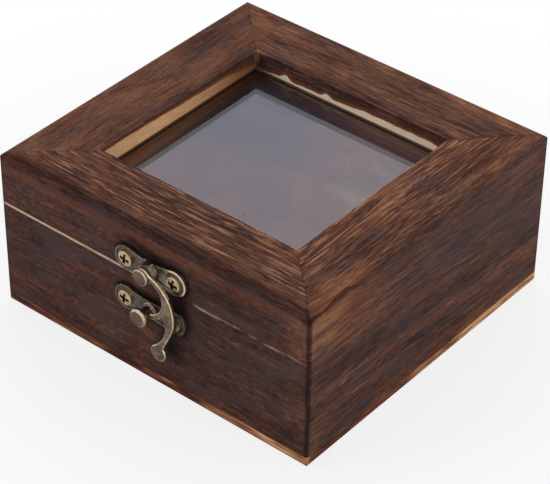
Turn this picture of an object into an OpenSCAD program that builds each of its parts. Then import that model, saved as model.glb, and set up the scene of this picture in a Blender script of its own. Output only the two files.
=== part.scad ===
// Pocket watch display box: a mitred wooden box with a glazed lid on two butt
// hinges, closed by a swing hook that hangs beside a mushroom stud.
// Origin: centre of the underside. +X right along the latch face, -Y is the latch
// face, +Z up. Millimetres.

/* [Box] */
// Outside width, along the latch face
box_w = 100; // [84:1:150]
// Outside depth, from the latch face to the hinge face
box_d = 95.7; // [92:0.1:150]
// Thickness of the base and lid walls
wall_t = 8; // [6.5:0.5:10]
// Thickness of the bottom panel
bottom_t = 3; // [2:0.5:5]
// Height of the base walls above the bottom panel
base_wall_h = 28.5; // [26:0.25:45]
// Height of the lid walls under the top frame
lid_wall_h = 5.05; // [4.5:0.05:12]
// Saw kerf between the closed lid and the base
kerf = 0.1; // [0.1:0.05:0.6]

/* [Edges] */
// Rounding of the top outer edges
top_round = 2.2; // [1:0.1:3]
// Rounding of the upright corner edges
corner_round = 1; // [0.5:0.1:2]
// Rounding of the bottom outer edges
foot_round = 1; // [0.5:0.1:1.8]

/* [Top frame] */
// Thickness of the frame rails
rail_t = 10; // [8:0.5:12]
// Width of the left rail
rail_left_w = 19; // [15:0.1:22]
// Width of the right rail
rail_right_w = 18; // [15:0.1:22]
// Width of the front rail
rail_front_w = 17.4; // [15:0.1:22]
// Width of the back rail
rail_back_w = 18.6; // [15:0.1:22]
// Wood left above the glass
lip_t = 6; // [4:0.1:6.4]
// Width of the rabbet that the glass lies in
rabbet_w = 4; // [3:0.1:5]

/* [Glazing] */
// Thickness of the glass
glass_t = 2; // [1.5:0.1:2]
// Gap between the glass edge and the rabbet wall
glass_gap = 0.3; // [0.1:0.05:0.5]
// Width of the beads that hold the glass from below
bead_w = 3.4; // [2.5:0.1:3.8]
// Height of the beads
bead_h = 1.2; // [0.8:0.1:1.4]
// Gap between a bead and the rabbet wall
bead_gap = 0.1; // [0.05:0.05:0.3]

/* [Watch pad] */
// Thickness of the pad
pad_t = 24; // [20:0.5:26]
// Gap between the pad and the walls
pad_gap = 0.3; // [0.2:0.1:1]
// Diameter of the round well for the watch
well_d = 52; // [40:1:54]
// Depth of the well
well_depth = 13; // [8:0.5:16]
// Width of the notch for the crown and bow
notch_w = 14; // [8:0.5:20]
// Length of the notch past the well
notch_l = 9; // [6:0.5:10]

/* [Latch plates] */
// Offset of the upper plate from the middle of the face
latch_x = 1.4; // [-10:0.1:10]
// Offset of the lower plate from the upper plate
catch_shift = -0.5; // [-0.8:0.1:0]
// Height of the pivot above the parting plane
pivot_rise = 4.3; // [4.3:0.05:6]
// Depth of the stud below the parting plane
stud_drop = 8.05; // [7.5:0.05:9]
// Distance between the two screws of a plate
plate_pitch = 15.6; // [14.5:0.1:18]
// Radius of the round ends
lobe_r = 3.6; // [3.4:0.1:4.2]
// Half the height of the waist between the ends
waist_r = 2.5; // [2:0.1:3]
// Thickness of the plate
plate_t = 0.7; // [0.6:0.1:1.3]
// Width of the raised rim
rim_w = 0.6; // [0.5:0.1:1.1]
// Height of the rim above the plate
rim_h = 0.3; // [0.2:0.1:0.7]
// Radius of the pivot boss
boss_r = 2.6; // [2.2:0.1:3]
// Height of the boss above the plate
boss_h = 2.1; // [1.3:0.1:2.4]

/* [Rivet and stud] */
// Radius of the rivet shank
rivet_r = 1.2; // [0.8:0.1:1.4]
// Radius of the rivet head
rivet_head_r = 2.35; // [1.8:0.05:2.6]
// Thickness of the rivet head
rivet_head_t = 0.9; // [0.6:0.1:1.2]
// Radius of the stud's neck
neck_r = 1.5; // [1.1:0.1:1.8]
// Radius of the collar at the stud's foot
collar_r = 2.1; // [1.9:0.1:2.4]
// Height of the collar above the plate
collar_h = 0.5; // [0.3:0.1:0.8]
// Radius of the stud's cap
cap_r = 2.6; // [2.2:0.1:2.8]
// Thickness of the stud's cap
cap_t = 1.5; // [0.8:0.1:1.8]
// Air between the hook's front and the cap's back
cap_air = 0.2; // [0.1:0.05:0.5]

/* [Hook] */
// Thickness of the hook
hook_t = 1.1; // [0.8:0.1:1.4]
// Air between the hook and the boss behind it, and the rivet head in front
hook_air = 0.05; // [0.03:0.01:0.1]
// Radial clearance of the hook on the rivet
pivot_clear = 0.05; // [0.02:0.01:0.1]
// Radius of the hook's round head
head_r = 2.2; // [2:0.1:2.6]
// Outer radius of the curved arm
arm_r = 10.8; // [10.2:0.1:11.2]
// Width of the arm at its thinnest, near the head
arm_thin = 1.4; // [0.9:0.1:1.6]
// Radius of the throat inside the arm
throat_r = 5.2; // [4.8:0.1:5.6]
// Radius of the tooth's tip
tooth_r = 0.75; // [0.6:0.05:0.9]
// Air between the tooth and the stud's cap, seen from the front
tooth_air = 0.12; // [0.1:0.02:0.4]
// Half width of the tail's neck
tail_neck_r = 0.85; // [0.7:0.05:1.1]
// Length of the tail, from its neck to the middle of the thumb pad
tail_l = 9; // [8.5:0.1:9.5]
// Radius of the thumb pad
thumb_r = 2.4; // [2:0.1:2.5]

/* [Latch screws] */
// Radius of the screw head
screw_head_r = 2.1; // [1.9:0.1:2.4]
// Height of the head's upright edge above the plate
screw_edge = 0.7; // [0.3:0.1:1]
// Height of the dome on the head
screw_dome = 0.3; // [0.2:0.05:0.6]
// Radius of the shank
screw_r = 0.9; // [0.7:0.1:1.1]
// Wood left behind the tip of a screw
screw_cover = 1.5; // [1:0.1:3]
// Width of a cross slot
slot_w = 0.8; // [0.4:0.05:0.9]
// Depth of a cross slot
slot_depth = 0.6; // [0.3:0.1:0.7]

/* [Hinges] */
// Distance from the box's side to the hinge
hinge_inset = 10; // [6:0.5:16]
// Length of a hinge along its pin
leaf_w = 20; // [16:0.5:24]
// Reach of a leaf from the pin's axis
leaf_h = 11; // [10:0.5:12.5]
// Thickness of a leaf
leaf_t = 0.8; // [0.6:0.05:0.9]
// Outer radius of the knuckles
knuckle_r = 1.5; // [1.4:0.05:1.8]
// Radius of the hinge pin
pin_r = 0.7; // [0.5:0.05:0.75]
// Radial clearance of a knuckle on the pin
pin_clear = 0.04; // [0.02:0.01:0.08]
// Gap between the knuckles
knuckle_gap = 0.15; // [0.1:0.05:0.3]
// Gap between the knuckles and the wood
barrel_air = 0.1; // [0.05:0.05:0.3]
// Radius of the hinge screw heads
hinge_head_r = 1.5; // [1.2:0.1:1.8]
// Height of a hinge screw's head above the leaf
hinge_dome = 0.25; // [0.1:0.05:0.4]
// Radius of the hinge screw shanks
hinge_screw_r = 0.7; // [0.5:0.1:0.9]
// Distance between the two screws of a leaf
hinge_pitch = 12; // [8:0.5:13]
// Distance of the screws from the pin's axis
hinge_screw_rise = 7.2; // [6:0.1:8.5]

/* [Hidden] */
$fn = 48;

// Colours
torched = "#4a3128";
raw_wood = "#b98a58";
bronze = "#7a6a50";
pale_brass = "#b9a273";
velvet = "#1d1a1c";
clear_glass = [0.7, 0.8, 0.85, 0.35];

// Heights, from the bottom up
base_top = bottom_t + base_wall_h;
lid_foot = base_top + kerf;
parting_z = base_top + kerf / 2;
frame_foot = lid_foot + lid_wall_h;
box_h = frame_foot + rail_t;
glass_top = box_h - lip_t;
bead_top = glass_top - glass_t;
pad_top = bottom_t + pad_t;

// Plan rectangles, each [left, front, right, back]
box_rect = [-box_w / 2, -box_d / 2, box_w / 2, box_d / 2];
room_rect = grown(box_rect, -wall_t);
window_rect = [
    box_rect[0] + rail_left_w,
    box_rect[1] + rail_front_w,
    box_rect[2] - rail_right_w,
    box_rect[3] - rail_back_w
];
rabbet_rect = grown(window_rect, rabbet_w);
bead_rect = grown(rabbet_rect, -bead_gap);

// Latch: places on the face, and distances out from it
pivot = [latch_x, parting_z + pivot_rise];
stud = [latch_x + catch_shift, parting_z - stud_drop];
hook_back = plate_t + boss_h + hook_air;
hook_front = hook_back + hook_t;
rivet_foot = hook_front + hook_air;
cap_back = hook_front + cap_air;
face_y = -box_d / 2;
screw_l = wall_t - screw_cover;

// Hook outline, measured from the pivot
stud_seen = stud - pivot;
tooth_bearing = 22;
tooth_tip = stud_seen + polar(cap_r + tooth_air + tooth_r, tooth_bearing);
throat_bearing = 108;
throat_mid = tooth_tip + polar(throat_r + tooth_r, throat_bearing);
arm_bearing = 65;
arm_mid = throat_mid - polar(arm_r - throat_r - arm_thin, arm_bearing);
tooth_out_r = throat_r + 2 * tooth_r;
root_bearing = -38;
root = throat_mid + polar(tooth_out_r, root_bearing);
neck_bearing = -24;
neck_out = arm_mid + polar(arm_r, neck_bearing);
neck_in = arm_mid + polar(arm_r - 2 * tail_neck_r, neck_bearing);
neck_pull = [1.4, -1.1];
tail_bearing = -119;
thumb = neck_out + polar(tail_l, tail_bearing);
thumb_in_bearing = 110;
thumb_out_bearing = 50;

// Hinges
hinge_y = box_d / 2 + barrel_air + knuckle_r;
hinge_x = box_w / 2 - hinge_inset - leaf_w / 2;
knuckle_w = (leaf_w - 2 * knuckle_gap) / 3;
knuckle_pitch = knuckle_w + knuckle_gap;
leaf_foot = knuckle_r + 0.2;
pin_head_r = pin_r + 0.45;
pin_head_t = 0.5;

// ---------- helpers ----------

function grown(rect, by) = [rect[0] - by, rect[1] - by, rect[2] + by, rect[3] + by];
function polar(r, a) = r * [cos(a), sin(a)];
function mid(rect) = [(rect[0] + rect[2]) / 2, (rect[1] + rect[3]) / 2];
function span(rect) = [rect[2] - rect[0], rect[3] - rect[1]];
function bearing(from, to) = atan2(to[1] - from[1], to[0] - from[0]);

// Points along an arc, its first end left out because the stretch before it ends there
function arc(c, r, a0, a1, n) = [for (i = [1:n]) c + polar(r, a0 + (a1 - a0) * i / n)];

// Points along a curve from p to q that is pulled towards m
function bend(p, m, q, n) = [for (i = [1:n]) let (t = i / n)
    (1 - t) * (1 - t) * p + 2 * t * (1 - t) * m + t * t * q];

// Where two circles cross; side picks one of the two crossings
function meet(c0, r0, c1, r1, side) =
    let (
        d = norm(c1 - c0),
        a = (r0 * r0 - r1 * r1 + d * d) / (2 * d),
        h = sqrt(r0 * r0 - a * a),
        along = (c1 - c0) / d
    )
    c0 + a * along + side * h * [-along[1], along[0]];

module rect_slab(rect, z0, z1) {
    at = mid(rect);
    size = span(rect);
    translate([at[0] - size[0] / 2, at[1] - size[1] / 2, z0]) cube([size[0], size[1], z1 - z0]);
}

// One side of a mitred ring, in plan: side 0 front, 1 right, 2 back, 3 left
module mitred_side(outer, inner, side) {
    o = [[outer[0], outer[1]], [outer[2], outer[1]], [outer[2], outer[3]], [outer[0], outer[3]]];
    i = [[inner[0], inner[1]], [inner[2], inner[1]], [inner[2], inner[3]], [inner[0], inner[3]]];
    next = (side + 1) % 4;
    polygon([o[side], o[next], i[next], i[side]]);
}

// What is cut from a square corner to round it; the corner is at the origin
module corner_cut(r) {
    difference() {
        translate([-1, -1]) square(r + 1);
        translate([r, r]) circle(r);
    }
}

// Outline of the box seen square on, w wide, standing on z = 0
module face_outline(w) {
    difference() {
        translate([-w / 2, 0]) square([w, box_h]);
        translate([-w / 2, 0]) corner_cut(foot_round);
        translate([w / 2, 0]) mirror([1, 0]) corner_cut(foot_round);
        translate([-w / 2, box_h]) mirror([0, 1]) corner_cut(top_round);
        translate([w / 2, box_h]) mirror([1, 0]) mirror([0, 1]) corner_cut(top_round);
    }
}

module plan_outline() {
    difference() {
        translate([-box_w / 2, -box_d / 2]) square([box_w, box_d]);
        for (sx = [0, 1], sy = [0, 1])
            mirror([sx, 0]) mirror([0, sy]) translate([-box_w / 2, -box_d / 2]) corner_cut(corner_round);
    }
}

// Keeps only what lies inside the rounded outside of the closed box
module rounded_outside() {
    intersection() {
        children();
        linear_extrude(box_h) plan_outline();
        rotate([90, 0, 0]) translate([0, 0, -box_d]) linear_extrude(2 * box_d) face_outline(box_w);
        rotate([90, 0, 90]) translate([0, 0, -box_w]) linear_extrude(2 * box_w) face_outline(box_d);
    }
}

// Turns a child drawn on the XY plane so that it stands on the latch face at
// [x, z], with its own +Z pointing out of the box
module on_face(at) {
    translate([at[0], face_y, at[1]]) rotate([90, 0, 0]) children();
}

// The same on the hinge face
module on_back(at) {
    translate([at[0], -face_y, at[1]]) rotate([90, 0, 180]) children();
}

module both_screws(pitch) {
    for (s = [-1, 1]) translate([s * pitch / 2, 0, 0]) children();
}

// ---------- wooden box ----------

module wall_side(side, z0, z1) {
    rounded_outside() translate([0, 0, z0]) linear_extrude(z1 - z0) mitred_side(box_rect, room_rect, side);
}

module pilot(r) {
    translate([0, 0, -screw_l]) cylinder(h = screw_l + 1, r = r);
}

module latch_pilots() {
    on_face(pivot) both_screws(plate_pitch) pilot(screw_r);
}

module catch_pilots() {
    on_face(stud) both_screws(plate_pitch) pilot(screw_r);
}

module hinge_pilots(up) {
    for (s = [-1, 1])
        on_back([s * hinge_x, parting_z + up * hinge_screw_rise])
            both_screws(hinge_pitch) pilot(hinge_screw_r);
}

module base_wall(side) {
    color(torched) difference() {
        wall_side(side, bottom_t, base_top);
        if (side == 0) catch_pilots();
        if (side == 2) hinge_pilots(-1);
    }
}

module lid_wall(side) {
    color(torched) difference() {
        wall_side(side, lid_foot, frame_foot);
        if (side == 0) latch_pilots();
        if (side == 2) hinge_pilots(1);
    }
}

module frame_rail(side) {
    color(torched) difference() {
        rounded_outside()
            translate([0, 0, frame_foot]) linear_extrude(rail_t) mitred_side(box_rect, window_rect, side);
        rect_slab(rabbet_rect, frame_foot - 1, glass_top);
        if (side == 0) latch_pilots();
        if (side == 2) hinge_pilots(1);
    }
}

module bottom_panel() {
    color(raw_wood) rounded_outside() rect_slab(box_rect, 0, bottom_t);
}

module base_wall_front() { base_wall(0); }
module base_wall_right() { base_wall(1); }
module base_wall_back() { base_wall(2); }
module base_wall_left() { base_wall(3); }
module lid_wall_front() { lid_wall(0); }
module lid_wall_right() { lid_wall(1); }
module lid_wall_back() { lid_wall(2); }
module lid_wall_left() { lid_wall(3); }
module frame_rail_front() { frame_rail(0); }
module frame_rail_right() { frame_rail(1); }
module frame_rail_back() { frame_rail(2); }
module frame_rail_left() { frame_rail(3); }

// ---------- glazing ----------

module glass_pane() {
    color(clear_glass) rect_slab(grown(rabbet_rect, -glass_gap), bead_top, glass_top);
}

module glazing_bead(side) {
    color(raw_wood) translate([0, 0, bead_top - bead_h]) linear_extrude(bead_h)
        mitred_side(bead_rect, grown(bead_rect, -bead_w), side);
}

module glazing_bead_front() { glazing_bead(0); }
module glazing_bead_right() { glazing_bead(1); }
module glazing_bead_back() { glazing_bead(2); }
module glazing_bead_left() { glazing_bead(3); }

// ---------- watch pad ----------

module display_pad() {
    well_r = well_d / 2;
    well_floor = pad_top - well_depth;
    color(velvet) difference() {
        rect_slab(grown(room_rect, -pad_gap), bottom_t, pad_top);
        translate([0, 0, well_floor]) cylinder(h = well_depth + 1, r = well_r, $fn = 96);
        translate([-notch_w / 2, 0, well_floor])
            cube([notch_w, well_r + notch_l - notch_w / 2, well_depth + 1]);
        translate([0, well_r + notch_l - notch_w / 2, well_floor])
            cylinder(h = well_depth + 1, r = notch_w / 2);
    }
}

// ---------- latch ----------

// Two round ends joined by a waist that runs into them smoothly
module plate_outline(inset) {
    s = plate_pitch / 2;
    waist_sweep = (s * s + waist_r * waist_r - lobe_r * lobe_r) / (2 * (lobe_r - waist_r));
    sweep_y = waist_r + waist_sweep;
    touch = [s, lobe_r * sweep_y / (lobe_r + waist_sweep)];
    for (e = [-1, 1]) translate([e * s, 0]) circle(lobe_r - inset);
    difference() {
        translate([-s, -touch[1] + inset]) square([plate_pitch, 2 * (touch[1] - inset)]);
        for (e = [-1, 1]) translate([0, e * sweep_y]) circle(waist_sweep + inset, $fn = 180);
    }
}

module dog_bone_plate() {
    linear_extrude(plate_t) plate_outline(0);
    translate([0, 0, plate_t]) linear_extrude(rim_h) difference() {
        plate_outline(0);
        plate_outline(rim_w);
    }
}

// Countersunk seats for the two screws
module screw_seats() {
    both_screws(plate_pitch) {
        translate([0, 0, -1]) cylinder(h = plate_t + 2, r = screw_r);
        cylinder(h = plate_t, r1 = screw_r, r2 = screw_head_r);
        translate([0, 0, plate_t]) cylinder(h = rim_h + 1, r = screw_head_r);
    }
}

module latch_plate() {
    color(bronze) on_face(pivot) difference() {
        union() {
            dog_bone_plate();
            cylinder(h = plate_t + boss_h, r = boss_r);
        }
        screw_seats();
        translate([0, 0, -1]) cylinder(h = plate_t + boss_h + 2, r = rivet_r);
    }
}

module catch_plate() {
    color(bronze) on_face(stud) difference() {
        dog_bone_plate();
        screw_seats();
        translate([0, 0, -1]) cylinder(h = plate_t + 2, r = neck_r);
        translate([0, 0, plate_t]) cylinder(h = rim_h + 1, r = collar_r);
    }
}

module latch_rivet() {
    soft = rivet_head_t / 3;
    color(bronze) on_face(pivot) rotate_extrude() polygon([
        [0, 0],
        [rivet_r, 0],
        [rivet_r, rivet_foot],
        [rivet_head_r, rivet_foot],
        [rivet_head_r, rivet_foot + rivet_head_t - soft],
        [rivet_head_r - soft, rivet_foot + rivet_head_t],
        [0, rivet_foot + rivet_head_t]
    ]);
}

module catch_stud() {
    soft = cap_t / 3;
    collar_top = plate_t + collar_h;
    color(bronze) on_face(stud) rotate_extrude() polygon([
        [0, 0],
        [neck_r, 0],
        [neck_r, plate_t],
        [collar_r, plate_t],
        [collar_r, collar_top],
        [neck_r, collar_top],
        [neck_r, cap_back],
        [cap_r, cap_back],
        [cap_r, cap_back + cap_t - soft],
        [cap_r - soft, cap_back + cap_t],
        [0, cap_back + cap_t]
    ]);
}

// Half of a countersunk, domed screw, seated in a plate of thickness t, its dome starting at height foot
module screw_profile(t, foot, head, shank, dome) {
    tip = 2 * shank;
    cap = (head * head + dome * dome) / (2 * dome);
    polygon([[0, -screw_l], [shank, tip - screw_l], [shank, 0], [head, t], [head, foot], [0, foot]]);
    intersection() {
        translate([0, foot + dome - cap]) circle(cap, $fn = 120);
        translate([0, foot]) square([head, dome]);
    }
}

module cross_slots(top, w, l, depth) {
    for (a = [0, 90]) rotate(a) translate([-l / 2, -w / 2, top - depth]) cube([l, w, depth + 1]);
}

module plate_screw() {
    dome_foot = plate_t + screw_edge;
    difference() {
        rotate_extrude() screw_profile(plate_t, dome_foot, screw_head_r, screw_r, screw_dome);
        rotate(-10) cross_slots(dome_foot + screw_dome, slot_w, 1.4 * screw_head_r, slot_depth);
    }
}

module latch_screws() {
    color(pale_brass) on_face(pivot) both_screws(plate_pitch) plate_screw();
}

module catch_screws() {
    color(pale_brass) on_face(stud) both_screws(plate_pitch) plate_screw();
}

module hook_outline() {
    head_in = meet([0, 0], head_r, throat_mid, throat_r, 1);
    head_out = meet([0, 0], head_r, arm_mid, arm_r, 1);
    tail_pull = neck_out + polar(0.4 * tail_l, neck_bearing - 90);
    polygon(concat(
        // Round head, from the arm's back over the left to the throat
        arc([0, 0], head_r, bearing([0, 0], head_out), bearing([0, 0], head_in) + 360, 20),
        // Throat, round to the tooth
        arc(throat_mid, throat_r, bearing(throat_mid, head_in), throat_bearing - 180, 24),
        arc(tooth_tip, tooth_r, throat_bearing, throat_bearing + 180, 10),
        arc(throat_mid, tooth_out_r, throat_bearing - 180, root_bearing, 8),
        // Inner edge of the tail, past its neck to the thumb pad
        bend(root, neck_in + neck_pull, thumb + polar(thumb_r, thumb_in_bearing), 12),
        arc(thumb, thumb_r, thumb_in_bearing, thumb_out_bearing + 360, 20),
        // Outer edge, back up the tail and along the arm
        bend(thumb + polar(thumb_r, thumb_out_bearing), tail_pull, neck_out, 8),
        arc(arm_mid, arm_r, neck_bearing, bearing(arm_mid, head_out), 24)
    ));
}

module latch_hook() {
    color(bronze) on_face(pivot) difference() {
        translate([0, 0, hook_back]) linear_extrude(hook_t) hook_outline();
        translate([0, 0, hook_back - 1]) cylinder(h = hook_t + 2, r = rivet_r + pivot_clear);
    }
}

// ---------- hinges ----------

// Knuckles at the given places along the pin, in steps from the middle
module knuckles(places) {
    for (k = places)
        translate([k * knuckle_pitch - knuckle_w / 2, hinge_y, parting_z])
            rotate([0, 90, 0]) cylinder(h = knuckle_w, r = knuckle_r);
}

// One leaf: up = 1 on the lid, -1 on the base
module hinge_leaf(places, up) {
    back = box_d / 2;
    far = parting_z + up * leaf_h;
    near = parting_z + up * leaf_foot;
    color(bronze) difference() {
        union() {
            translate([-leaf_w / 2, back, min(far, near)])
                cube([leaf_w, leaf_t, leaf_h - leaf_foot]);
            for (k = places)
                translate([k * knuckle_pitch - knuckle_w / 2, back, min(parting_z, near)])
                    cube([knuckle_w, leaf_t, leaf_foot]);
            knuckles(places);
        }
        translate([-leaf_w, hinge_y, parting_z]) rotate([0, 90, 0])
            cylinder(h = 2 * leaf_w, r = pin_r + pin_clear);
        on_back([0, parting_z + up * hinge_screw_rise]) both_screws(hinge_pitch) {
            translate([0, 0, -1]) cylinder(h = leaf_t + 2, r = hinge_screw_r);
            cylinder(h = leaf_t, r1 = hinge_screw_r, r2 = hinge_head_r);
        }
    }
}

module hinge_pin() {
    half = leaf_w / 2 + knuckle_gap / 2;
    color(bronze) translate([0, hinge_y, parting_z]) rotate([0, 90, 0]) {
        translate([0, 0, -half]) cylinder(h = 2 * half, r = pin_r);
        for (s = [-1, 1]) translate([0, 0, s * (half + pin_head_t / 2)])
            cylinder(h = pin_head_t, r = pin_head_r, center = true);
    }
}

module hinge_screw() {
    difference() {
        rotate_extrude() screw_profile(leaf_t, leaf_t, hinge_head_r, hinge_screw_r, hinge_dome);
        cross_slots(leaf_t + hinge_dome, slot_w, 1.2 * hinge_head_r, slot_depth);
    }
}

module hinge_screws(up) {
    color(pale_brass) for (s = [-1, 1])
        on_back([s * hinge_x, parting_z + up * hinge_screw_rise]) both_screws(hinge_pitch) hinge_screw();
}

module at_hinge(s) {
    translate([s * hinge_x, 0, 0]) children();
}

module hinge_left_base_leaf() { at_hinge(-1) hinge_leaf([-1, 1], -1); }
module hinge_right_base_leaf() { at_hinge(1) hinge_leaf([-1, 1], -1); }
module hinge_left_lid_leaf() { at_hinge(-1) hinge_leaf([0], 1); }
module hinge_right_lid_leaf() { at_hinge(1) hinge_leaf([0], 1); }
module hinge_left_pin() { at_hinge(-1) hinge_pin(); }
module hinge_right_pin() { at_hinge(1) hinge_pin(); }
module hinge_base_screws() { hinge_screws(-1); }
module hinge_lid_screws() { hinge_screws(1); }

bottom_panel();
base_wall_front();
base_wall_back();
base_wall_left();
base_wall_right();
display_pad();
catch_plate();
catch_stud();
catch_screws();
hinge_left_base_leaf();
hinge_right_base_leaf();
hinge_left_pin();
hinge_right_pin();
hinge_base_screws();
lid_wall_front();
lid_wall_back();
lid_wall_left();
lid_wall_right();
frame_rail_front();
frame_rail_back();
frame_rail_left();
frame_rail_right();
glass_pane();
glazing_bead_front();
glazing_bead_back();
glazing_bead_left();
glazing_bead_right();
latch_plate();
latch_rivet();
latch_screws();
latch_hook();
hinge_left_lid_leaf();
hinge_right_lid_leaf();
hinge_lid_screws();
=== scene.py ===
"""Looks of a pocket watch display box: torched wood, glass, velvet and an antiqued hook latch."""
import math

import bmesh
import bpy
from mathutils import Matrix, Vector


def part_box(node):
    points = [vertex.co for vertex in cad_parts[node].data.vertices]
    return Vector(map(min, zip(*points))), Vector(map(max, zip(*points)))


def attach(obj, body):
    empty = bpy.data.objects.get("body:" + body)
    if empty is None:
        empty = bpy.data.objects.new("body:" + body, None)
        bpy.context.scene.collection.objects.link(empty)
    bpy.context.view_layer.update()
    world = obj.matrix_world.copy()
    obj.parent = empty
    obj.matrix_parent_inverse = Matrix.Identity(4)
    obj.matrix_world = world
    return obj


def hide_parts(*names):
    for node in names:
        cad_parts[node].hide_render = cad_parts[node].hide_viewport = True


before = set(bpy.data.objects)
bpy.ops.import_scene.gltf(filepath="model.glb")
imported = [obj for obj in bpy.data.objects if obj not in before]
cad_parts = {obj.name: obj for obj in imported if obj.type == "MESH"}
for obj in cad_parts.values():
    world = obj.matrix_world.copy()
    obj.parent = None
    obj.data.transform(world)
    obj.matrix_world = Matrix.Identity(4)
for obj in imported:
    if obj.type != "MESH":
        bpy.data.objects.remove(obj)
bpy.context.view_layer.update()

MM = 0.001

# Main sizes of the box, in metres, read off the CAD nodes
HALF_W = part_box("frame_rail_right")[1].x
HALF_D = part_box("frame_rail_back")[1].y
BOX_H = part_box("frame_rail_front")[1].z
BASE_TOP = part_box("base_wall_front")[1].z
LID_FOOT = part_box("lid_wall_front")[0].z
PARTING = (BASE_TOP + LID_FOOT) / 2
GLASS_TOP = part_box("glass_pane")[1].z
# Edges of the window in plan: left, front, right, back
WINDOW = (-31 * MM, -30.45 * MM, 32 * MM, 29.25 * MM)


def mm(*values):
    """Lengths written in millimetres, as metres."""
    return [v * MM for v in values]


def rgb(r, g, b):
    """A colour written as it shows on screen, 0 to 255, as the linear colour that Blender wants."""

    def linear(c):
        c /= 255
        return c / 12.92 if c <= 0.04045 else ((c + 0.055) / 1.055) ** 2.4

    return (linear(r), linear(g), linear(b), 1.0)


# ---------- a short way to write node trees ----------


class Val:
    """An output of a node, which can be added, multiplied and so on."""

    def __init__(self, tree, socket):
        self.tree, self.socket = tree, socket

    def __add__(self, other):
        return self.tree.maths("ADD", self, other)

    __radd__ = __add__

    def __sub__(self, other):
        return self.tree.maths("SUBTRACT", self, other)

    def __rsub__(self, other):
        return self.tree.maths("SUBTRACT", other, self)

    def __mul__(self, other):
        return self.tree.maths("MULTIPLY", self, other)

    __rmul__ = __mul__

    def __abs__(self):
        return self.tree.maths("ABSOLUTE", self)


class Tree:
    """A new material and the nodes behind it."""

    def __init__(self, name):
        self.mat = bpy.data.materials.new(name)
        self.mat.use_nodes = True
        self.nodes = self.mat.node_tree.nodes
        self.bsdf = self.nodes["Principled BSDF"]
        coords = self.nodes.new("ShaderNodeTexCoord")
        self.place = Val(self, coords.outputs["Object"])
        self.normal = Val(self, coords.outputs["Normal"])

    def put(self, socket, value):
        """Feeds a socket from another node, or sets it to a number, a vector or a colour."""
        if isinstance(value, Val):
            self.mat.node_tree.links.new(value.socket, socket)
        elif hasattr(socket.default_value, "__len__"):
            wanted = len(socket.default_value)
            numbers = list(value) if hasattr(value, "__len__") else [value] * 3
            socket.default_value = (numbers + [1.0])[:wanted]
        else:
            socket.default_value = value

    def node(self, kind, inputs=(), out=0, **settings):
        """A new node with its inputs, in order or by name, and the output that is wanted of it."""
        made = self.nodes.new("ShaderNode" + kind)
        for key, value in settings.items():
            setattr(made, key, value)
        pairs = inputs.items() if isinstance(inputs, dict) else enumerate(inputs)
        for key, value in pairs:
            self.put(made.inputs[key], value)
        return Val(self, made.outputs[out])

    def maths(self, operation, *values):
        return self.node("Math", values, operation=operation)

    def vector(self, operation, *values, out=0):
        return self.node("VectorMath", values, out=out, operation=operation)

    def clamp(self, value):
        return self.node("Clamp", [value])

    def split(self, vector):
        xyz = self.node("SeparateXYZ", [vector])
        return [Val(self, xyz.socket.node.outputs[i]) for i in range(3)]

    def join(self, x, y, z):
        return self.node("CombineXYZ", [x, y, z])

    def scaled(self, vector, scale, offset=(0, 0, 0)):
        return self.node("Mapping", [vector, offset, (0, 0, 0), scale])

    def noise(self, at, detail=2.0, roughness=0.5, colour=False):
        inputs = {"Vector": at, "Scale": 1.0, "Detail": detail, "Roughness": roughness}
        return self.node("TexNoise", inputs, out=1 if colour else 0)

    def step(self, value, low, high):
        """0 below low and 1 above high, turning smoothly in between. low may be the larger."""
        inputs = {"Value": value, "From Min": low, "From Max": high}
        return self.node("MapRange", inputs, interpolation_type="SMOOTHSTEP")

    def ramp(self, value, stops):
        made = self.node("ValToRGB", [value])
        band = made.socket.node.color_ramp
        for i, (at, colour) in enumerate(stops):
            e = band.elements[i] if i < 2 else band.elements.new(at)
            e.position, e.color = at, colour
        return made

    def mix(self, share, a, b):
        """Colour a where share is 0 and b where it is 1."""
        # Inputs 6 and 7 and output 2 are the ones for colours
        inputs = {0: share, 6: a, 7: b}
        return self.node("Mix", inputs, out=2, data_type="RGBA")

    def near(self, centre, reach, soft=1.0):
        """1 at centre, falling to 0 at the distances in reach along each axis."""
        away = self.vector("SUBTRACT", self.place, centre)
        away = self.vector("LENGTH", self.vector("DIVIDE", away, reach), out=1)
        return self.step(away, 1.0, 1.0 - soft)

    def pick(self, share, a, b):
        """a where share is 0 and b where it is 1."""
        return a + (b - a) * share

    def bump(self, height, strength, distance):
        return self.node("Bump", {"Strength": strength, "Distance": distance, "Height": height})

    def finish(self, **inputs):
        """Sets the surface's inputs, with _ for a space in a name, and gives the material."""
        for key, value in inputs.items():
            self.put(self.bsdf.inputs[key.replace("_", " ")], value)
        return self.mat


# ---------- wood ----------

CHAR = rgb(34, 22, 21)
DARK = rgb(66, 43, 38)
BROWN = rgb(99, 65, 52)
WARM = rgb(134, 90, 66)
TAN = rgb(182, 132, 96)
RED = rgb(112, 60, 44)
MAUVE = rgb(78, 61, 62)
# Near black of the painted shade round the latch
PAINTED_SHADE_BLACK = rgb(22, 15, 16)

# Where the mitres run, from the outer corner to the window's corner, and the two on each rail
CORNERS = {
    (i, j): (((-HALF_W, HALF_W)[i], (-HALF_D, HALF_D)[j]), (WINDOW[2 * i], WINDOW[1 + 2 * j]))
    for i in (0, 1)
    for j in (0, 1)
}
MITRES = {
    "front": ((0, 0), (1, 0)),
    "back": ((0, 1), (1, 1)),
    "left": ((0, 0), (0, 1)),
    "right": ((1, 0), (1, 1)),
}
# Offsets of the noise in each board, so that no two of them look alike
SEED = {
    "front": (3.1, 7.4, 1.7),
    "back": (11.9, 2.2, 5.3),
    "left": (6.6, 15.1, 9.2),
    "right": (20.4, 4.8, 13.5),
}
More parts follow.
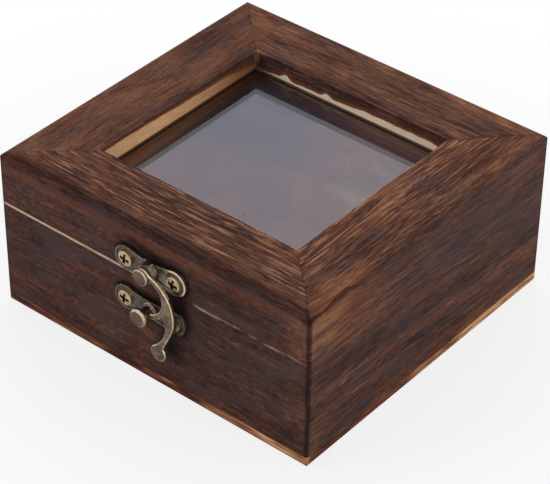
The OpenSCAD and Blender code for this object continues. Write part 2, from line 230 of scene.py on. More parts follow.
# Shares of blotches, bands, streaks, flecks and mottling on each outer face
FACE_MIX = {
    "front": (0.8, 0.4, 0.4, 0.6, 0.7),
    "back": (0.7, 0.2, 0.5, 0.75, 0.65),
    "left": (0.7, 0.2, 0.5, 0.75, 0.65),
    "right": (0.55, 0.5, 0.85, 0.6, 0.4),
}
# How light each outer face and the top of each rail are
FACE_LEVEL = {"front": 0.39, "back": 0.41, "left": 0.41, "right": 0.465}
TOP_LEVEL = {"front": 0.495, "back": 0.545, "left": 0.56, "right": 0.51}
# How much of each outer face turns mauve
MAUVE_SHARE = {"front": 0.7, "back": 0.55, "left": 0.55, "right": 0.7}

# Painted shade round the latch: centre in mm, reach in mm, strength
FRONT_PAINTED_SHADE = (
    ((4, -50, 39.5), (15, 5, 7), 0.11),
    ((2, -50, 16), (15, 5, 9), 0.04),
)
# Lighter wood on the right face, mainly under the corner near the front, in the same way
RIGHT_GLOW = (
    ((50, -43, 41.5), (6, 17, 5.5), 0.52),
    ((50, -45, 34.5), (6, 13, 5.5), 0.42),
    ((50, -24, 37.5), (6, 12, 3.5), 0.08),
    ((50, -28, 31.5), (6, 15, 6), 0.07),
    ((50, 38, 8), (6, 18, 9), 0.06),
)
# The window's corners that are rubbed down to bare wood: centre and reach in mm
RUBBED = (
    ((-30.6, 29.2, 45.2), (1.0, 1.4, 3.4)),
    ((32, -30.4, 46.3), (1.4, 1.4, 1.0)),
)


def burnt_depth(t, side, x, y, ragged):
    """How far under the top the scorched wood ends on the reveal round the window."""
    if side == "back":
        # Spikes of bare wood reach up from the glass, longer towards the right
        depth = 5.2 * MM - t.step(x, -28 * MM, -23 * MM) * 0.7 * MM
        depth = depth - t.step(x, -10 * MM, 10 * MM) * 1.3 * MM
        depth = depth + t.step(x, 24 * MM, 33 * MM) * 0.7 * MM
        for spike in (-21.0, -7.0):
            depth = depth - t.step(abs(x - spike * MM), 2.4 * MM, 0.0) * 1.1 * MM
        return depth + ragged * 1.4
    if side == "left":
        depth = 0.9 * MM + ragged * 0.9 + t.step(y, -24 * MM, 16 * MM) * 1.1 * MM
        return depth + t.step(y, 14 * MM, 29 * MM) * 1.6 * MM
    return 1.4 * MM + ragged * 2.0


def torched(side):
    """Scorched and brushed wood of one board, which was sawn into base wall, lid wall and rail."""
    along_x = side in ("front", "back")
    sign = -1 if side in ("front", "left") else 1
    seed = SEED[side]
    other = (seed[1], seed[2], seed[0])
    t = Tree("torched_" + side)
    x, y, z = t.split(t.place)
    along, across = (x, y) if along_x else (y, x)
    # The grain of the right board sinks slightly to the back
    tilt = 0.035 if side == "right" else 0.0
    q = t.join(along, across, z + along * tilt)

    # Depth under the outer face and under the top, for what the torch reached
    face_depth = HALF_D - y * sign if along_x else HALF_W - x * sign
    top_depth = BOX_H - z
    top = t.step(top_depth, 1.2 * MM, 0.5 * MM)
    face = 1 - top

    # The grain wanders a little along the board
    drift = t.noise(t.scaled(q, (22, 60, 60), seed), 2, colour=True)
    drift = t.vector("SUBTRACT", drift, (0.5, 0.5, 0.5))
    drift = t.vector("MULTIPLY", drift, (0.004, 0.004, 0.004))
    q = t.vector("ADD", q, drift)

    # Textures about 0. The scales are per metre: along the board, and the two ways across it
    bands = t.noise(t.scaled(q, (30, 380, 380), seed), 2) - 0.5
    streaks = t.noise(t.scaled(q, (120, 1900, 1900), seed), 2, 0.55) - 0.5
    flecks = t.noise(t.scaled(q, (420, 2600, 2600), other), 2, 0.6) - 0.5
    blotch = t.noise(t.scaled(q, (45, 110, 110), other), 3, 0.6) - 0.5
    mottle = t.noise(t.scaled(q, (600, 950, 950), seed), 3, 0.6) - 0.5

    # value: how light the wood is. brushed: how strong its fine brushed lines are
    shares = zip((blotch, bands, streaks, flecks, mottle), FACE_MIX[side])
    on_face = sum(texture * share for texture, share in shares)
    on_top = blotch * 0.8 + bands * 0.35 + streaks * 0.8 + flecks * 0.75
    value = t.pick(top, FACE_LEVEL[side], TOP_LEVEL[side]) + t.pick(top, on_face, on_top)
    if side == "front":
        # A burnt band under the top edge, and a redder one below it
        value = value - 0.06 * t.step(top_depth, 2.6 * MM, 1.9 * MM) * face
        under = t.step(top_depth, 6 * MM, 4 * MM) * t.step(top_depth, 2.0 * MM, 2.8 * MM)
        value = value + under * (0.10 + 0.08 * t.step(x, 20 * MM, 44 * MM))
        # Lighter near the right corner, darker on the left
        value = value + 0.18 * t.near(mm(50, -48, 38), mm(11, 3, 9))
        value = value - 0.02 * t.step(x, 5 * MM, -15 * MM) * face
        # Painted shade round the latch
        for centre, reach, strength in FRONT_PAINTED_SHADE:
            value = value - strength * t.near(mm(*centre), mm(*reach))
        # Redder lines in the grain
        for height, low_x, high_x in ((26.6, 8, 22), (17.2, -20, -46)):
            line = t.step(abs(z - height * MM), 0.7 * MM, 0.2 * MM)
            value = value + 0.10 * line * t.step(x, low_x * MM, high_x * MM)
        # The foot, which the torch hardly touched, and the lighter right edge
        foot = t.step(z, 6.0 * MM, 2.8 * MM)
        value = value + foot * (0.05 + 0.10 * t.step(x, -10 * MM, 40 * MM))
        value = value + 0.03 * t.step(x, 42 * MM, 45 * MM) * face
        burnt_edge = t.step(y, -44.5 * MM, -47 * MM) * top
        value = value - 0.14 * burnt_edge
        brushed = 0.1 + 0.8 * top * t.step(y, -46 * MM, -42 * MM)
    elif side == "right":
        for centre, reach, strength in RIGHT_GLOW:
            spot = t.near(mm(*centre), mm(*reach))
            value = value + strength * spot * face * (1.0 + 2.4 * (streaks + bands * 0.6))
        value = value + 0.12 * t.near((49 * MM, -33 * MM, BOX_H), mm(6, 15, 2))
        # A dark band that sinks slightly to the back, with a redder one under it
        low = z + 0.07 * (y + 48 * MM)
        band = t.step(low, 21.5 * MM, 23.5 * MM) * t.step(low, 28.5 * MM, 25.5 * MM)
        value = value - 0.09 * band * face
        line = t.step(low, 17 * MM, 20 * MM) * t.step(low, 23 * MM, 21.5 * MM)
        value = value + 0.10 * line * face
        scratch = t.step(abs(z - 12 * MM + y * 0.03), 0.45 * MM, 0.1 * MM)
        scratch = 0.22 * scratch * t.step(y, -47 * MM, -24 * MM)
        value = value + scratch * t.step(y, -8 * MM, -16 * MM)
        foot = t.step(z, 5.6 * MM, 2.8 * MM)
        value = value + foot * (0.08 + 0.14 * t.step(y, -15 * MM, 35 * MM))
        # The rail is brushed lighter on its inner part
        inner_part = t.step(x, 41 * MM, 37 * MM)
        value = value + top * inner_part * 0.04
        brushed = 0.2 + top * (0.25 + 0.5 * inner_part)
        brushed = brushed + 0.25 * t.near(mm(50, -28, 36), mm(6, 24, 9))
    elif side == "left":
        # The rail is dark along the middle of the window
        edge = t.step(x, -34.5 * MM, -32 * MM) * t.step(abs(y), 32 * MM, 20 * MM)
        value = value - 0.16 * edge * top
        value = value - 0.25 * (bands + streaks) * top
        brushed = 0.18
    else:
        # The rail is dark along the window, but for its left end
        edge = t.step(y + blotch * 4 * MM, 32.8 * MM, 30.6 * MM) * t.step(x, -31 * MM, -24 * MM)
        value = value - 0.22 * edge * top
        brushed = 0.3

    colour = t.ramp(value, [(0.16, CHAR), (0.96, TAN), (0.38, DARK), (0.55, BROWN), (0.75, WARM)])
    hue = t.noise(t.scaled(q, (60, 160, 160), other), 2) + mottle * 0.25 * face
    colour = t.mix(t.step(hue, 0.48, 0.68) * 0.35, colour, t.mix(0.6, colour, RED))
    mauve_share = t.pick(top, MAUVE_SHARE[side], 0.25)
    colour = t.mix(t.step(hue, 0.52, 0.34) * mauve_share, colour, MAUVE)
    colour = t.mix(face * 0.2, colour, MAUVE)
    if side == "front":
        colour = t.mix(under * 0.45, colour, rgb(98, 56, 42))
    elif side == "right":
        # Painted sheen: mauve over the middle of the right face, and a little over its upper part
        sheen = t.near(mm(50, 8, 33), mm(6, 30, 12))
        colour = t.mix(sheen * 0.35 + face * 0.15 * t.step(z, 16 * MM, 26 * MM), colour, MAUVE)
        ochre = t.near(mm(50, -38, 41), mm(8, 22, 15))
        colour = t.mix(ochre * t.step(hue, 0.38, 0.54) * 0.45, colour, rgb(140, 82, 56))
        # A dark wavy line just under the top edge near the front corner
        crack = abs(top_depth - 1.9 * MM + blotch * 6 * MM)
        crack = t.step(crack, 0.8 * MM, 0.25 * MM) * t.step(y, -24 * MM, -31 * MM)
        colour = t.mix(crack * 0.7, colour, CHAR)

    # Fine lines brushed down to lighter wood
    lines = t.noise(t.scaled(q, (95, 1900, 1900), other), 2, 0.6)
    lines = t.step(lines, 0.52, 0.68) * brushed
    colour = t.mix(lines, colour, rgb(178, 126, 94))
    pits = t.step(flecks, 0.10, 0.20)
    colour = t.mix(pits * 0.45, colour, CHAR)

    # Raw wood where the torch didn't reach: the reveal, the inside and the saw cut
    speck = t.noise(t.scaled(q, (420, 1300, 1300), other), 2)
    grain = t.noise(t.scaled(q, (20, 260, 260), seed), 3)
    stops = [(0.32, rgb(190, 132, 88)), (0.68, rgb(255, 220, 176))]
    pale = t.ramp(grain * 0.5 + speck * 0.5, stops)
    if side == "left":
        pale = t.mix(0.55, pale, rgb(255, 196, 146))
        # It browns towards the back
        pale = t.mix(t.step(y, -12 * MM, 26 * MM) * 0.7, pale, rgb(150, 90, 54))
        pale = t.mix(t.step(y, 8 * MM, 28 * MM) * 0.6, pale, rgb(104, 60, 38))
    elif side == "back":
        pale = t.mix(0.85, pale, rgb(255, 232, 204))
    ragged = (t.noise(t.scaled(t.place, (190, 190, 190), seed), 3, 0.6) - 0.5) * MM
    burnt = burnt_depth(t, side, x, y, ragged)
    bare = t.step(top_depth - burnt, -0.15 * MM, 0.3 * MM)
    bare = bare * t.step(face_depth + ragged * 0.4, 0.35 * MM, 0.9 * MM)
    # Scorched orange just above the bare wood
    scorched = t.step(top_depth - burnt, -1.5 * MM, -0.2 * MM)
    scorched = scorched * t.step(face_depth, 6 * MM, 9 * MM)
    scorched = scorched * t.step(top_depth, 0.2 * MM, 0.6 * MM)
    colour = t.mix(scorched * 0.7, colour, rgb(134, 80, 48))
    colour = t.mix(bare, colour, pale)
    # A dark line where the pane meets the reveal
    pane_line = t.step(top_depth, 5.05 * MM, 5.5 * MM) * t.step(top_depth, 6.4 * MM, 6.1 * MM)
    colour = t.mix(pane_line * bare * 0.9, colour, CHAR)

    # The saw cut's chipped edge, on the front bright left of the latch and broken right of it
    from_cut = abs(z - PARTING) + t.step(face_depth, 0.5 * MM, 0.9 * MM) * MM
    chip = t.noise(t.scaled(t.place, (200, 200, 700), seed), 2)
    if side == "front":
        whole = 1.15 - 0.95 * t.step(x, -8 * MM, 6 * MM)
        cut = t.step(from_cut, 0.46 * MM, 0.18 * MM) * t.clamp(whole + (chip - 0.5) * 2.2)
        colour = t.mix(cut, colour, rgb(232, 194, 162))
    else:
        cut = t.step(from_cut, 0.4 * MM, 0.15 * MM) * t.step(chip, 0.5, 0.65) * 0.5
        colour = t.mix(cut, colour, WARM)

    for centre, reach in RUBBED:
        worn = t.near(mm(*centre), mm(*reach), 0.9)
        colour = t.mix(t.clamp(worn + ragged * 300 * worn) * 0.75, colour, rgb(196, 140, 94))

    # Upright corners are scorched darkest, and charred just under the top at the front right
    off_x = HALF_W - abs(x)
    off_y = HALF_D - abs(y)
    corner = t.step(t.maths("MAXIMUM", off_x, off_y) + blotch * MM, 1.4 * MM, 0.5 * MM)
    colour = t.mix(corner * (0.3 + 0.45 * t.step(z, 46.2 * MM, 45 * MM)), colour, CHAR)
    notch = t.near((HALF_W, -HALF_D, 44.4 * MM), mm(4.0, 4.0, 1.9))
    colour = t.mix(notch * 0.75, colour, CHAR)
    # A fine dark line along the mitres of the frame
    for end in MITRES[side]:
        outer, inner = Vector(CORNERS[end][0]), Vector(CORNERS[end][1])
        run = (inner - outer).normalized()
        off = abs((x - outer.x) * run.y - (y - outer.y) * run.x)
        colour = t.mix(t.step(off, 0.30 * MM, 0.06 * MM) * top * 0.3, colour, CHAR)

    if side == "front":
        # Painted shade round the latch, darkest where it hides the wood
        shade = t.node("AmbientOcclusion", {"Distance": 5 * MM}, out=1, samples=8)
        colour = t.mix(t.step(shade, 0.97, 0.66) * face * 0.9, colour, PAINTED_SHADE_BLACK)
        # Painted shadow: a thick dark streak that slopes along the top of the upper plate
        painted_plate_shadow = t.step(abs(z + x * 0.18 - 40.4 * MM), 1.5 * MM, 0.5 * MM)
        painted_plate_shadow = painted_plate_shadow * t.step(x, -8 * MM, -5 * MM) * t.step(x, 8 * MM, 3 * MM)
        colour = t.mix(painted_plate_shadow * face * 0.65, colour, PAINTED_SHADE_BLACK)

    relief = streaks * 0.6 + flecks * 0.9 + mottle * 0.3 - pits * 0.25
    return t.finish(
        Base_Color=colour,
        Roughness=0.6 + streaks * 0.3 + bare * 0.2,
        Specular_IOR_Level=0.05,
        Normal=t.bump(relief, 0.6, 0.25 * MM),
    )


def bottom_board():
    """The board under the box: reddish and scorched along its edge, bare wood at some places."""
    t = Tree("bottom_board")
    x, y, z = t.split(t.place)
    grain = t.noise(t.scaled(t.place, (160, 160, 1500)), 3) - 0.5
    bands = t.noise(t.scaled(t.place, (70, 70, 400), (5, 1, 2)), 2) - 0.5
    front = t.step(y, -46 * MM, -47.5 * MM)
    side = t.step(x, 48 * MM, 49.5 * MM)
    light = front * (0.02 + 0.32 * t.step(x, -15 * MM, 47 * MM))
    light = light + side * (0.07 + 0.40 * t.step(y, -30 * MM, 25 * MM))
    low = t.step(z, 0.4 * MM, 1.1 * MM)
    value = 0.40 + grain * 0.8 + bands * 0.8 + light * low
    stops = [
        (0.2, rgb(44, 28, 25)),
        (1.0, rgb(236, 190, 142)),
        (0.42, rgb(92, 54, 42)),
        (0.58, rgb(136, 84, 60)),
        (0.76, rgb(186, 130, 90)),
    ]
    return t.finish(
        Base_Color=t.ramp(value, stops),
        Roughness=0.65 + grain * 0.3,
        Specular_IOR_Level=0.05,
        Normal=t.bump(grain, 0.4, 0.2 * MM),
    )


def bead_wood():
    """Plain wood for the strips that hold the pane."""
    t = Tree("bead_wood")
    grain = t.noise(t.scaled(t.place, (300, 300, 1500)), 3)
    colour = t.ramp(grain, [(0.3, rgb(150, 108, 72)), (0.7, rgb(204, 160, 116))])
    return t.finish(
        Base_Color=colour,
        Roughness=0.65 + (grain - 0.5) * 0.3,
        Specular_IOR_Level=0.1,
        Normal=t.bump(grain, 0.3, 0.1 * MM),
    )


def glass():
    """The pane, in a thin haze of dust, with a painted reflection: bluish at the back left and rosy
    at the front right.
    """
    t = Tree("pane_glass")
    x, y, _ = t.split(t.place)
    cloud = t.noise(t.scaled(t.place, (30, 42, 10), (2, 5, 1)), 4, 0.55)
    # Painted reflection: the haze turns bluish at the back left and rosy at the front right
    side = 0.5 + (x - y) * 6 + (cloud - 0.5) * 1.4
    tint = t.ramp(side, [(0.1, rgb(180, 184, 214)), (0.9, rgb(240, 207, 212))])
    # Light wisps over the right part, partly wiped dust and partly a painted reflection of a soft
    # box, and a painted reflection of the brown reveal along the back and left edges
    dust_and_reflection = t.step(t.noise(t.scaled(t.place, (26, 110, 10), (7, 1, 4)), 3, 0.55), 0.42, 0.62)
    dust_and_reflection = dust_and_reflection * t.near((28 * MM, 0, GLASS_TOP), mm(28, 26, 20))
    tint = t.mix(dust_and_reflection, tint, rgb(255, 238, 230))
    # Painted reflection of the brown reveal along the back and left edges
    rim = t.maths("MAXIMUM", t.step(x, -26 * MM, -29 * MM), t.step(y, 24 * MM, 27 * MM) * 0.6)
    return t.finish(
        Base_Color=t.mix(rim * 0.9, tint, rgb(196, 148, 126)),
        Transmission_Weight=0.972,
        IOR=1.60,
        Roughness=0.01 + 0.008 * t.step(cloud, 0.4, 0.7),
    )


def velvet():
    """Near black velvet, brushed this way and that."""
    t = Tree("velvet")
    pile = t.noise(t.scaled(t.place, (1500, 1500, 1500)), 2, 0.5)
    brushed = t.noise(t.scaled(t.place, (45, 80, 60)), 3)
    colour = t.ramp(brushed * 0.94 + pile * 0.06, [(0.3, rgb(24, 22, 27)), (0.7, rgb(40, 36, 43))])
    return t.finish(
        Base_Color=colour,
        Roughness=0.9 + (pile - 0.5) * 0.1,
        Specular_IOR_Level=0.1,
        Sheen_Weight=0.12,
        Sheen_Roughness=0.35,
        Sheen_Tint=(0.55, 0.52, 0.6, 1),
        Normal=t.bump(pile, 0.04, 0.05 * MM),
    )


# Middle of the upper plate's right lobe, and where its rim begins and ends
LOBE = mm(9.2, 0, 35.85)
LOBE_RIM = mm(2.95, 3.2)


def metal(name, low, high, worn, rough, reach=0.8 * MM, clean=0.92, black=0.5, rim=0.0):
    """Antiqued brass: dark in its hollows, mottled on its faces, and bright along its edges, partly
    rubbed and partly a painted highlight.

    low and high are the colours of its faces, worn that of its edges, rubbed and with a painted
    highlight. Hollows are looked for within reach: they begin at clean and are black at black.
    rim is how strongly a painted highlight, with some rubbing, shows on the rim round the upper
    plate's right lobe.
    """
    t = Tree(name)
    mottle = t.noise(t.scaled(t.place, (900, 900, 900)), 4, 0.6)
    cloud = t.noise(t.scaled(t.place, (260, 260, 260), (3, 3, 3)), 2)
    colour = t.ramp(mottle * 0.5 + cloud * 0.5, [(0.35, low), (0.65, high)])
    # Rounded edges turn away from the way a flat piece faces, which is forwards or backwards
    turned = t.split(t.normal)
    flat = abs(turned[1])
    edge = t.step(flat, 0.985, 0.86) * t.step(flat, 0.10, 0.45)
    # Painted highlight: sides that face right, towards the light, turn bright
    edge = t.maths("MAXIMUM", edge, t.step(turned[0], 0.25, 0.8) * 0.7)
    # Painted highlight, with some rubbed wear: the lobe's rim, below and right of its middle, on
    # what faces forwards
    x, _, z = t.split(t.vector("SUBTRACT", t.place, LOBE))
    rim_wear_and_highlight = t.step(t.vector("LENGTH", t.join(x, 0, z), out=1), *LOBE_RIM)
    rim_wear_and_highlight = rim_wear_and_highlight * t.step(x, -4 * MM, -1 * MM) * t.step(z, -3.6 * MM, -1.5 * MM)
    rim_wear_and_highlight = rim_wear_and_highlight * t.step(flat, 0.3, 0.7)
    edge = t.maths("MAXIMUM", edge, rim_wear_and_highlight * rim)
    edge = t.clamp(edge * (0.75 + (mottle - 0.5) * 2.0))
    # Edges take the worn colour: rubbed wear and a painted highlight
    colour = t.mix(edge, colour, worn)
    hollow = t.node("AmbientOcclusion", {"Distance": reach}, out=1, samples=8, only_local=True)
    colour = t.mix(t.step(hollow, clean, black) * 0.92, colour, rgb(24, 18, 15))
    return t.finish(
        Base_Color=colour,
        Metallic=1.0,
        Roughness=rough + (mottle - 0.5) * 0.25 - edge * 0.1,
        Normal=t.bump(mottle, 0.25, 0.05 * MM),
    )


# ---------- pieces ----------


def clothe(node, mat):
    """Gives a CAD node its finish."""
    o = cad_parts[node]
    o.data.materials.clear()
    o.data.materials.append(mat)


def new_object(name, data):
    """A new object in the scene."""
    o = bpy.data.objects.new(name, data)
    bpy.context.scene.collection.objects.link(o)
    return o


def smoothed(node, body, mat, width):
    """A copy of a CAD node with softened edges, which stands for it."""
    o = new_object(node + "_soft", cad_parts[node].data.copy())
    o.data.materials.clear()
    o.data.materials.append(mat)
    work = bmesh.new()
    work.from_mesh(o.data)
    bmesh.ops.remove_doubles(work, verts=work.verts, dist=0.002 * MM)
    flat = math.radians(0.5)
    bmesh.ops.dissolve_limit(work, angle_limit=flat, verts=work.verts, edges=work.edges)
    inside = [e for e in work.edges if len(e.link_faces) == 2]
    sharp = [e for e in inside if e.calc_face_angle() > math.radians(30)]
    bmesh.ops.bevel(
        work,
        geom=sharp,
        offset=width,
        segments=3,
        profile=0.5,
        affect="EDGES",
        clamp_overlap=True,
    )
    for face in work.faces:
        face.smooth = True
    work.to_mesh(o.data)
    work.free()
    o.data.set_sharp_from_angle(angle=math.radians(32))
    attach(o, body)
    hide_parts(node)


# The pad: its distance from the walls, and its well for the watch with a notch for the crown
PAD_GAP = 0.25 * MM
PAD_CORNER = 8 * MM
WELL_R = 26 * MM
WELL_FLOOR = 14 * MM
NOTCH_HALF = 7 * MM
NOTCH_END = 35 * MM
# Bearings of the points in each of its loops, which are joined point by point
BEARINGS = [2 * math.pi * i / 288 for i in range(288)]


def pad_outline(centre, half_w, half_d):
    """Points of the pad's outline in plan, one for each bearing."""
    # A superellipse close to a rectangle with rounded corners
    power = 2 * half_w / PAD_CORNER
    points = []
    for a in BEARINGS:
        c, s = math.cos(a), math.sin(a)
        r = (abs(c / half_w) ** power + abs(s / half_d) ** power) ** (-1 / power)
        points.append(Vector((centre.x + r * c, centre.y + r * s)))
    return points


def well_outline():
    """Points of the well with its notch in plan, one for each bearing."""
    points = []
    for a in BEARINGS:
        c, s = math.cos(a), math.sin(a)
        r = WELL_R
        if s > 0:
            # The notch's sides (straight ahead only its end stops the line)
            side = NOTCH_HALF / abs(c) if abs(c) > 1e-9 else 1.0
            r = max(r, side)
            # The notch's round end
            middle = NOTCH_END - NOTCH_HALF
            under = NOTCH_HALF**2 - (middle * c) ** 2
            if under > 0 and r > WELL_R:
                r = max(WELL_R, min(r, middle * s + math.sqrt(under)))
        points.append(Vector((r * c, r * s)))
    # Soften the inner corners between the well and the notch
    for _ in range(6):
        after = points[1:] + points[:1]
        points = [(points[i - 1] + p * 2 + q) / 4 for i, (p, q) in enumerate(zip(points, after))]
    return points


def inset(points, by):
    """A closed line of points, moved inwards."""
    after = points[1:] + points[:1]
    moved = []
    for i, (p, q) in enumerate(zip(points, after)):
        tangent = q - points[i - 1]
        moved.append(p + Vector((-tangent.y, tangent.x)).normalized() * by)
    return moved


def pad_top(start, end, top):
    """The pad's upper side from its rim to the well, as lines of points with their heights."""
    steps = 14
    for k in range(steps + 1):
        s = k / steps
        line, heights = [], []
        for a, p, q in zip(BEARINGS, start, end):
            line.append(p.lerp(q, s))
            width = (q - p).length
            puff = 0.9 * MM * math.sin(math.pi * s) * min(1, width / (14 * MM))
            # Soft gathers where the velvet is drawn over the lip
            waves = math.sin(41 * a + 1.3 * math.sin(5 * a)) + 0.6 * math.sin(67 * a + 2)
            heights.append(top + puff + s**4 * 0.10 * MM * waves)
        yield line, heights


def watch_pad(mat):
    """The velvet pad: crowned between its edges, rolled over its rim and into the well."""
    low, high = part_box("display_pad")
    centre = (low + high) / 2
    rim = pad_outline(centre, (high.x - low.x) / 2, (high.y - low.y) / 2)
    well = well_outline()
    # Radii of the rim, of the well's lip and of the curve at its foot
    roll, lip, cove = 3.2 * MM, 2.2 * MM, 1.4 * MM
    # The crown rises from here
    top = high.z - 1.3 * MM
    loops = []

    def loop(points, heights):
        if isinstance(heights, float):
            heights = [heights] * len(points)
        loops.append([(p.x, p.y, h) for p, h in zip(points, heights)])

    loop(inset(rim, 1.2 * MM), low.z + 0.2 * MM)
    loop(inset(rim, 0.3 * MM), low.z + 1.2 * MM)
    # Straight sides
    for h in (6, 11, 16, 20):
        loop(inset(rim, PAD_GAP), h * MM)
    for k in range(1, 8):
        a = math.pi / 2 * k / 8
        loop(inset(rim, PAD_GAP + roll * (1 - math.cos(a))), top - roll * (1 - math.sin(a)))
    for line, heights in pad_top(inset(rim, PAD_GAP + roll), inset(well, -lip), top):
        loop(line, heights)
    for k in range(1, 8):
        a = math.pi / 2 * k / 8
        loop(inset(well, -lip * (1 - math.sin(a))), top - lip * (1 - math.cos(a)))
    for h in (22, 19, 16.5):
        loop(inset(well, 0.02 * MM), h * MM)
    for k in range(1, 5):
        a = math.pi / 2 * k / 4
        height = WELL_FLOOR + cove * (1 - math.sin(a)) + 0.15 * MM
        loop(inset(well, cove * (1 - math.cos(a))), height)
    last = inset(well, cove)
    for s in (0.85, 0.68, 0.5, 0.33, 0.16):
        loop([p * s for p in last], WELL_FLOOR + 0.15 * MM + 0.5 * MM * (1 - s))

    work = bmesh.new()
    rings = [[work.verts.new(p) for p in points] for points in loops]
    for a, b in zip(rings, rings[1:]):
        for i in range(len(a)):
            j = (i + 1) % len(a)
            work.faces.new((a[i], a[j], b[j], b[i]))
    work.faces.new(list(reversed(rings[0])))
    work.faces.new(rings[-1])
    bmesh.ops.recalc_face_normals(work, faces=work.faces)
    for face in work.faces:
        face.smooth = True
    mesh = bpy.data.meshes.new("velvet_pad")
    work.to_mesh(mesh)
    work.free()
    mesh.materials.append(mat)
    o = new_object("velvet_pad", mesh)
    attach(o, "base")
    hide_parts("display_pad")
    return o


def evaluated(o):
    """An object as its modifiers leave it."""
    return o.evaluated_get(bpy.context.evaluated_depsgraph_get())


def swell(pad):
    """A short cloth run: the velvet swells over its wadding, held at its foot and in the well."""
    voxel, frames, furthest = 1.1 * MM, 20, 0.9 * MM
    scene = bpy.context.scene
    low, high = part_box("display_pad")
    pad.modifiers.new("even", "REMESH").voxel_size = voxel
    even = bpy.data.meshes.new_from_object(evaluated(pad))
    pad.modifiers.clear()
    pad.data = even
    rest = [v.co.copy() for v in even.vertices]
    foot = [i for i, p in enumerate(rest) if p.z < low.z + 1.5 * MM]
    floor = [i for i, p in enumerate(rest) if p.z < 15.5 * MM and p.xy.length < 36 * MM]
    held = pad.vertex_groups.new(name="held")
    held.add(foot, 1.0, "REPLACE")
    held.add(floor, 1.0, "REPLACE")
    cloth = pad.modifiers.new("cloth", "CLOTH").settings
    cloth.vertex_group_mass = "held"
    cloth.mass = 0.001
    cloth.use_pressure = True
    cloth.uniform_pressure_force = 150
    cloth.tension_stiffness = cloth.compression_stiffness = 6
    cloth.shear_stiffness = 3
    cloth.bending_stiffness = 0.02
    cloth.effector_weights.gravity = 0
    for f in range(1, frames + 1):
        scene.frame_set(f)
    moved = [v.co - p for v, p in zip(evaluated(pad).data.vertices, rest)]
    pad.modifiers.clear()
    scene.frame_set(1)
    for v, p, m in zip(even.vertices, rest, moved):
        if m.length > furthest:
            m.length = furthest
        # The walls of the box stop it at the sides
        x, y, z = p + m
        x = min(max(x, low.x + PAD_GAP), high.x - PAD_GAP)
        y = min(max(y, low.y + PAD_GAP), high.y - PAD_GAP)
        v.co = (x, y, z)
    for face in even.polygons:
        face.use_smooth = True
    pad.modifiers.new("fine", "SUBSURF").levels = 1


WOOD = {side: torched(side) for side in ("front", "back", "left", "right")}
for side, mat in WOOD.items():
    for part in ("base_wall_", "lid_wall_", "frame_rail_"):
        clothe(part + side, mat)
clothe("bottom_panel", bottom_board())
beads = bead_wood()
for side in WOOD:
    clothe("glazing_bead_" + side, beads)
clothe("glass_pane", glass())

# Colour of the edges of plates and hook: rubbed wear and a painted highlight
WEAR_AND_HIGHLIGHT = rgb(255, 238, 206)
PLATE = metal("antique_bronze", rgb(80, 73, 70), rgb(130, 118, 107), WEAR_AND_HIGHLIGHT, 0.36, rim=1.2)
HOOK = metal("hook_bronze", rgb(98, 86, 75), rgb(168, 145, 121), WEAR_AND_HIGHLIGHT, 0.34)
CAP = metal("cap_bronze", rgb(84, 70, 62), rgb(134, 112, 97), rgb(220, 198, 166), 0.36)
HINGE = metal("hinge_bronze", rgb(78, 68, 62), rgb(130, 114, 100), rgb(172, 152, 124), 0.4)
SCREW = metal(
    "screw_brass",
    rgb(184, 158, 120),
    rgb(230, 206, 162),
    rgb(250, 230, 190),
    0.36,
    reach=1.3 * MM,
    clean=0.96,
    black=0.66,
)
# Width of each piece's softened edges
for node, body, mat, width in (
    ("latch_hook", "hook", HOOK, 0.32 * MM),
    ("latch_plate", "lid", PLATE, 0.22 * MM),
    ("catch_plate", "base", PLATE, 0.22 * MM),
    ("latch_rivet", "lid", CAP, 0.18 * MM),
    ("catch_stud", "base", CAP, 0.25 * MM),
):
    smoothed(node, body, mat, width)
for node in ("latch_screws", "catch_screws", "hinge_base_screws", "hinge_lid_screws"):
    clothe(node, SCREW)
for side in ("left", "right"):
    for part in ("_base_leaf", "_lid_leaf", "_pin"):
        clothe("hinge_" + side + part, HINGE)
pad = watch_pad(velvet())
swell(pad)


# ---------- camera, floor and light ----------


def bearing(azimuth, elevation):
    """The way to a camera or lamp. Azimuth 0 is in front and 90 on the right, in degrees."""
    a, e = math.radians(azimuth), math.radians(elevation)
    return Vector((math.sin(a) * math.cos(e), -math.cos(a) * math.cos(e), math.sin(e)))


def make_camera():
    """The camera that the silhouette in the photo gives. Lengths are in box widths."""
    width = 2 * HALF_W
    azimuth, elevation, roll = 39.40, 37.48, math.radians(0.62)
    turn = math.radians(azimuth)
    away, right_by, up_by = 6.170, -0.0023, -0.1223
    focal_px, image_w = 2351.0, 550
    back = bearing(azimuth, elevation)
    right = Vector((math.cos(turn), math.sin(turn), 0))
    up = back.cross(right)
    right, up = (
        right * math.cos(roll) + up * math.sin(roll),
        up * math.cos(roll) - right * math.sin(roll),
    )
    data = bpy.data.cameras.new("camera")
    data.sensor_width = 36
    data.lens = focal_px / image_w * data.sensor_width
    data.clip_start, data.clip_end = 0.01, 20
    camera = new_object("camera", data)
    place = (back * away - right * right_by - up * up_by) * width
    axes = Matrix((right, up, back)).transposed().to_4x4()
    camera.matrix_world = Matrix.Translation(place) @ axes
    bpy.context.scene.camera = camera


def lamp(name, azimuth, elevation, distance, wide, high, radiance):
    """A soft box that faces the middle of the object and isn't mirrored in it."""
    back = bearing(azimuth, elevation)
    data = bpy.data.lights.new(name, "AREA")
    data.shape = "RECTANGLE"
    data.size, data.size_y = wide, high
    data.energy = 4 * radiance * wide * high
    o = new_object(name, data)
    o.location = Vector((0, 0, 0.03)) + back * distance
    o.rotation_mode = "QUATERNION"
    o.rotation_quaternion = (-back).to_track_quat("-Z", "Y")
    o.visible_glossy = False


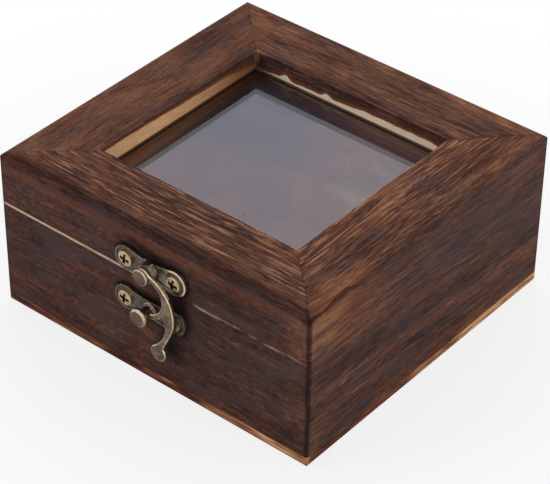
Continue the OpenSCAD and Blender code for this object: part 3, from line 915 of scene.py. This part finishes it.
def make_world(strength):
    """Even studio light, which the camera, gloss and glass see as white."""
    world = bpy.data.worlds.new("studio")
    bpy.context.scene.world = world
    world.use_nodes = True
    nodes, links = world.node_tree.nodes, world.node_tree.links
    path = nodes.new("ShaderNodeLightPath")
    seen = path.outputs["Is Camera Ray"]
    for ray in ("Is Glossy Ray", "Is Transmission Ray"):
        either = nodes.new("ShaderNodeMath")
        either.operation = "MAXIMUM"
        links.new(seen, either.inputs[0])
        links.new(path.outputs[ray], either.inputs[1])
        seen = either.outputs[0]
    level = nodes.new("ShaderNodeMapRange")
    level.inputs["To Min"].default_value = strength
    level.inputs["To Max"].default_value = 1.0
    links.new(seen, level.inputs["Value"])
    background = nodes["Background"]
    background.inputs["Color"].default_value = (1, 1, 1, 1)
    links.new(level.outputs[0], background.inputs["Strength"])


def make_floor():
    """A white table that keeps the object's shadow and runs into the white background."""
    mesh = bpy.data.meshes.new("floor")
    half = 3.0
    corners = [(-half, -half, 0), (half, -half, 0), (half, half, 0), (-half, half, 0)]
    mesh.from_pydata(corners, [], [(0, 1, 2, 3)])
    floor = new_object("floor", mesh)
    # Just clear of the box's underside
    floor.location.z = -0.00002
    t = Tree("white_table")
    t.finish(Base_Color=(0.93, 0.93, 0.93, 1), Roughness=0.9, Specular_IOR_Level=0.0)
    # The camera sees it glow, fully so further out
    shine = t.node("Emission", [(1, 1, 1, 1), 1.0])
    seen = Val(t, t.nodes.new("ShaderNodeLightPath").outputs["Is Camera Ray"])
    flat = t.vector("LENGTH", t.vector("MULTIPLY", t.place, (1, 1, 0)), out=1)
    far = (0.8 + 0.2 * t.step(flat, 0.06, 0.16)) * seen
    mixed = t.node("MixShader", [far, Val(t, t.bsdf.outputs[0]), shine])
    t.mat.node_tree.links.new(mixed.socket, t.nodes["Material Output"].inputs["Surface"])
    mesh.materials.append(t.mat)


make_camera()
make_world(strength=0.44)
make_floor()
lamp("top_back", 219.4, 40, distance=1.0, wide=1.0, high=0.8, radiance=1.1)
lamp("left_front", -40, 24, distance=0.9, wide=0.4, high=0.4, radiance=3.0)
lamp("right_fill", 100, 30, distance=0.9, wide=0.6, high=0.5, radiance=1.4)

bpy.context.scene.view_settings.view_transform = "Standard"
